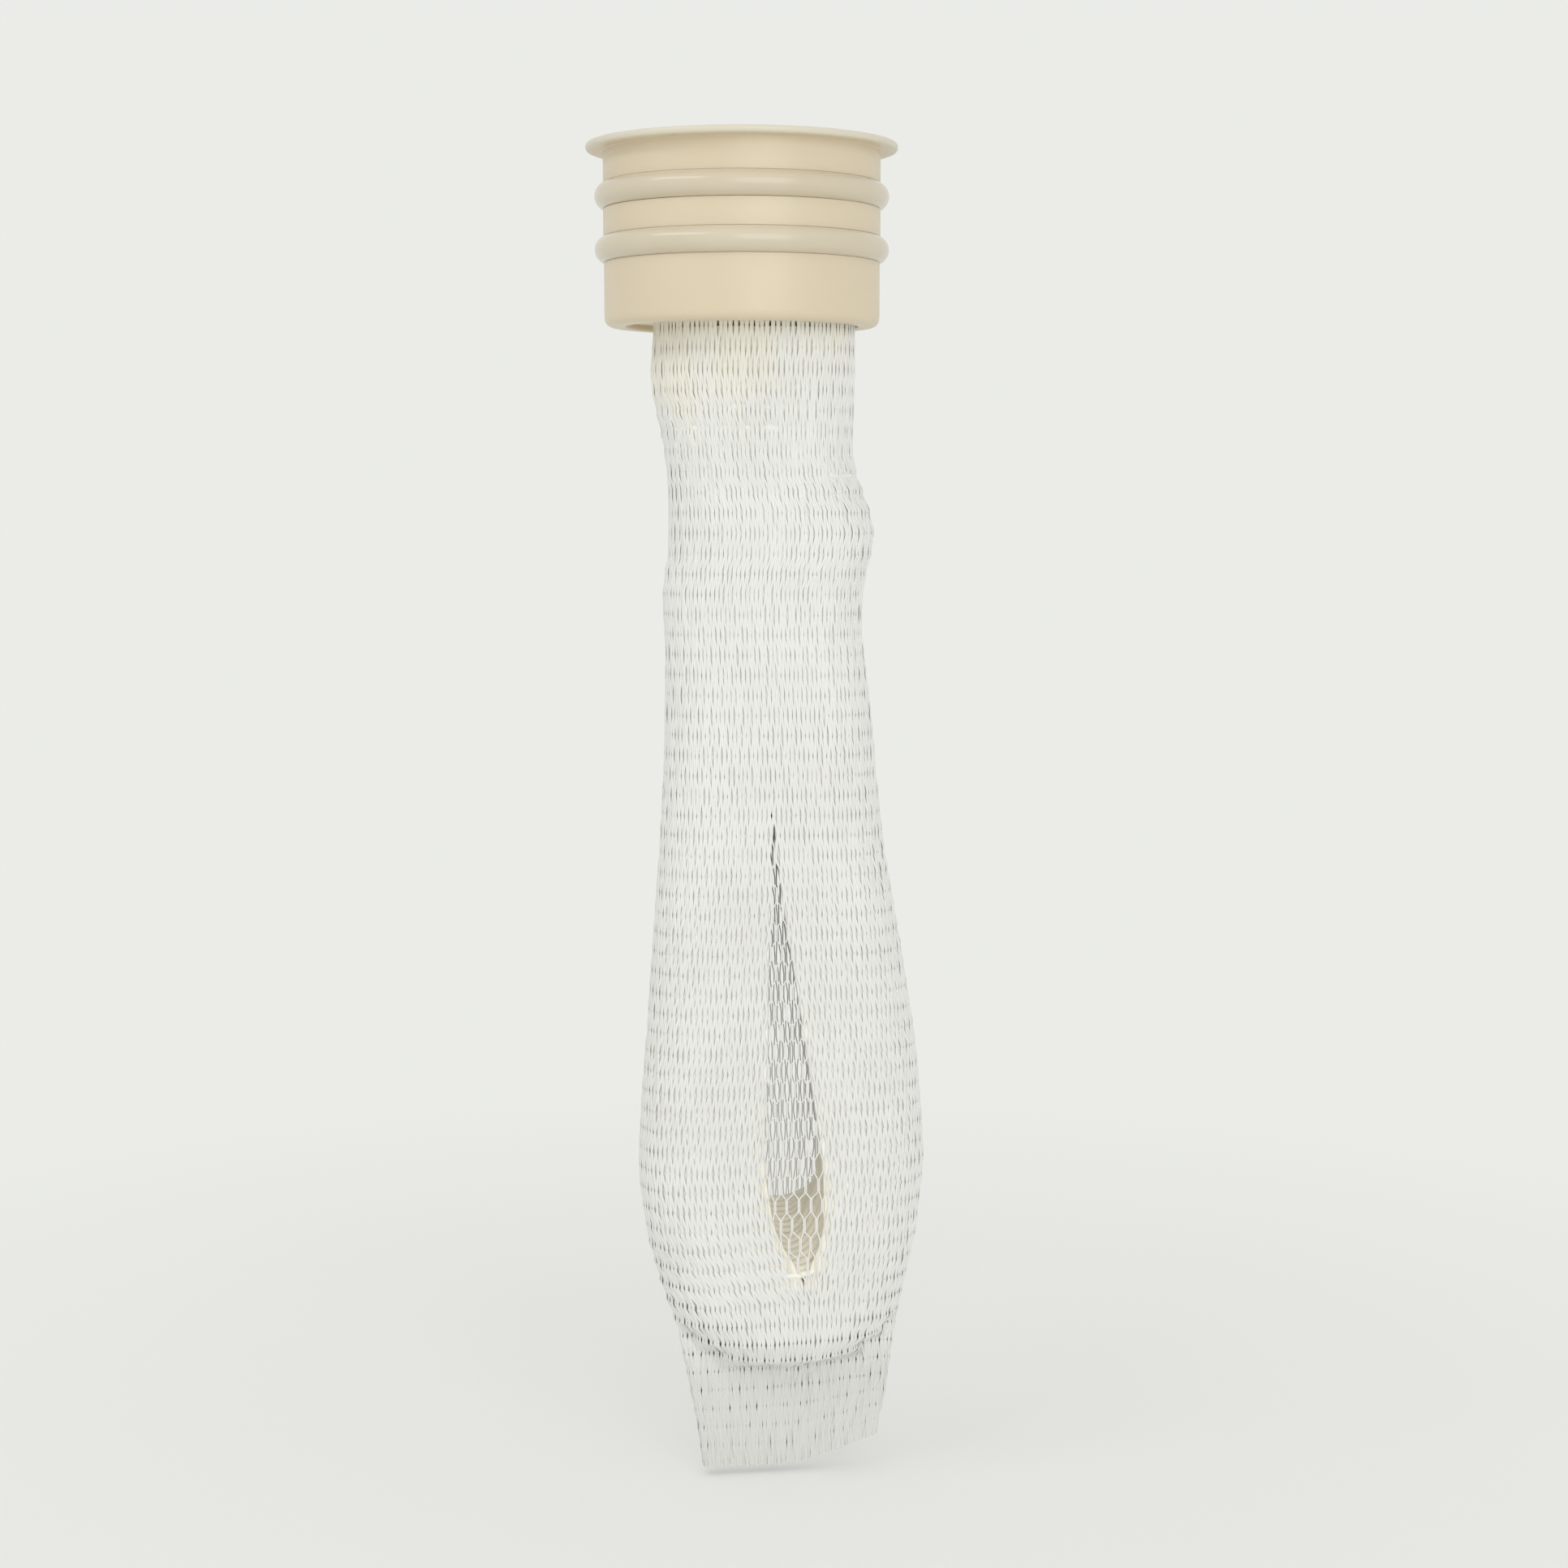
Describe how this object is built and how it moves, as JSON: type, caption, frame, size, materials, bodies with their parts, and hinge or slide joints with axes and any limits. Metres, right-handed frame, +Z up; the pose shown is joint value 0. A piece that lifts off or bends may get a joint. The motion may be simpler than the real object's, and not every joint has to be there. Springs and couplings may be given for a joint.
{
  "type": "hollow fibre membrane cartridge core",
  "caption": "Flanged potting head with O-ring seals holding a hairpin loop of hollow membrane fibres inside a knitted net sleeve; fits into a filter housing's bore.",
  "frame": {"origin": "centre of the head's top face, where the potted fibre ends are cut open", "axes": "+Z up along the head's axis, out of the cut face; +X to the right as the hairpin loop is seen from the front; the viewer looks along +Y"},
  "size_m": [0.0596, 0.054, 0.2365],
  "materials": {
    "head_plastic": "moulded cream plastic, semi-gloss",
    "silicone": "translucent silicone rubber, lightly glossy",
    "resin": "cast amber-cream resin, cut face satin",
    "fibre": "porous membrane polymer, matte",
    "net_yarn": "knitted polyester monofilament net"
  },
  "bodies": {
    "root": {"head_shell": "head_plastic", "upper_o_ring": "silicone", "lower_o_ring": "silicone", "potting_resin": "resin", "net_sleeve": "net_yarn", "fibre_row_01": "fibre", "fibre_row_02": "fibre", "fibre_row_03": "fibre", "fibre_row_04": "fibre", "fibre_row_05": "fibre", "fibre_row_06": "fibre", "fibre_row_07": "fibre", "fibre_row_08": "fibre", "fibre_row_09": "fibre", "fibre_row_10": "fibre", "fibre_row_11": "fibre", "fibre_row_12": "fibre", "fibre_row_13": "fibre", "fibre_row_14": "fibre", "fibre_row_15": "fibre"}
  },
  "joints": []
}
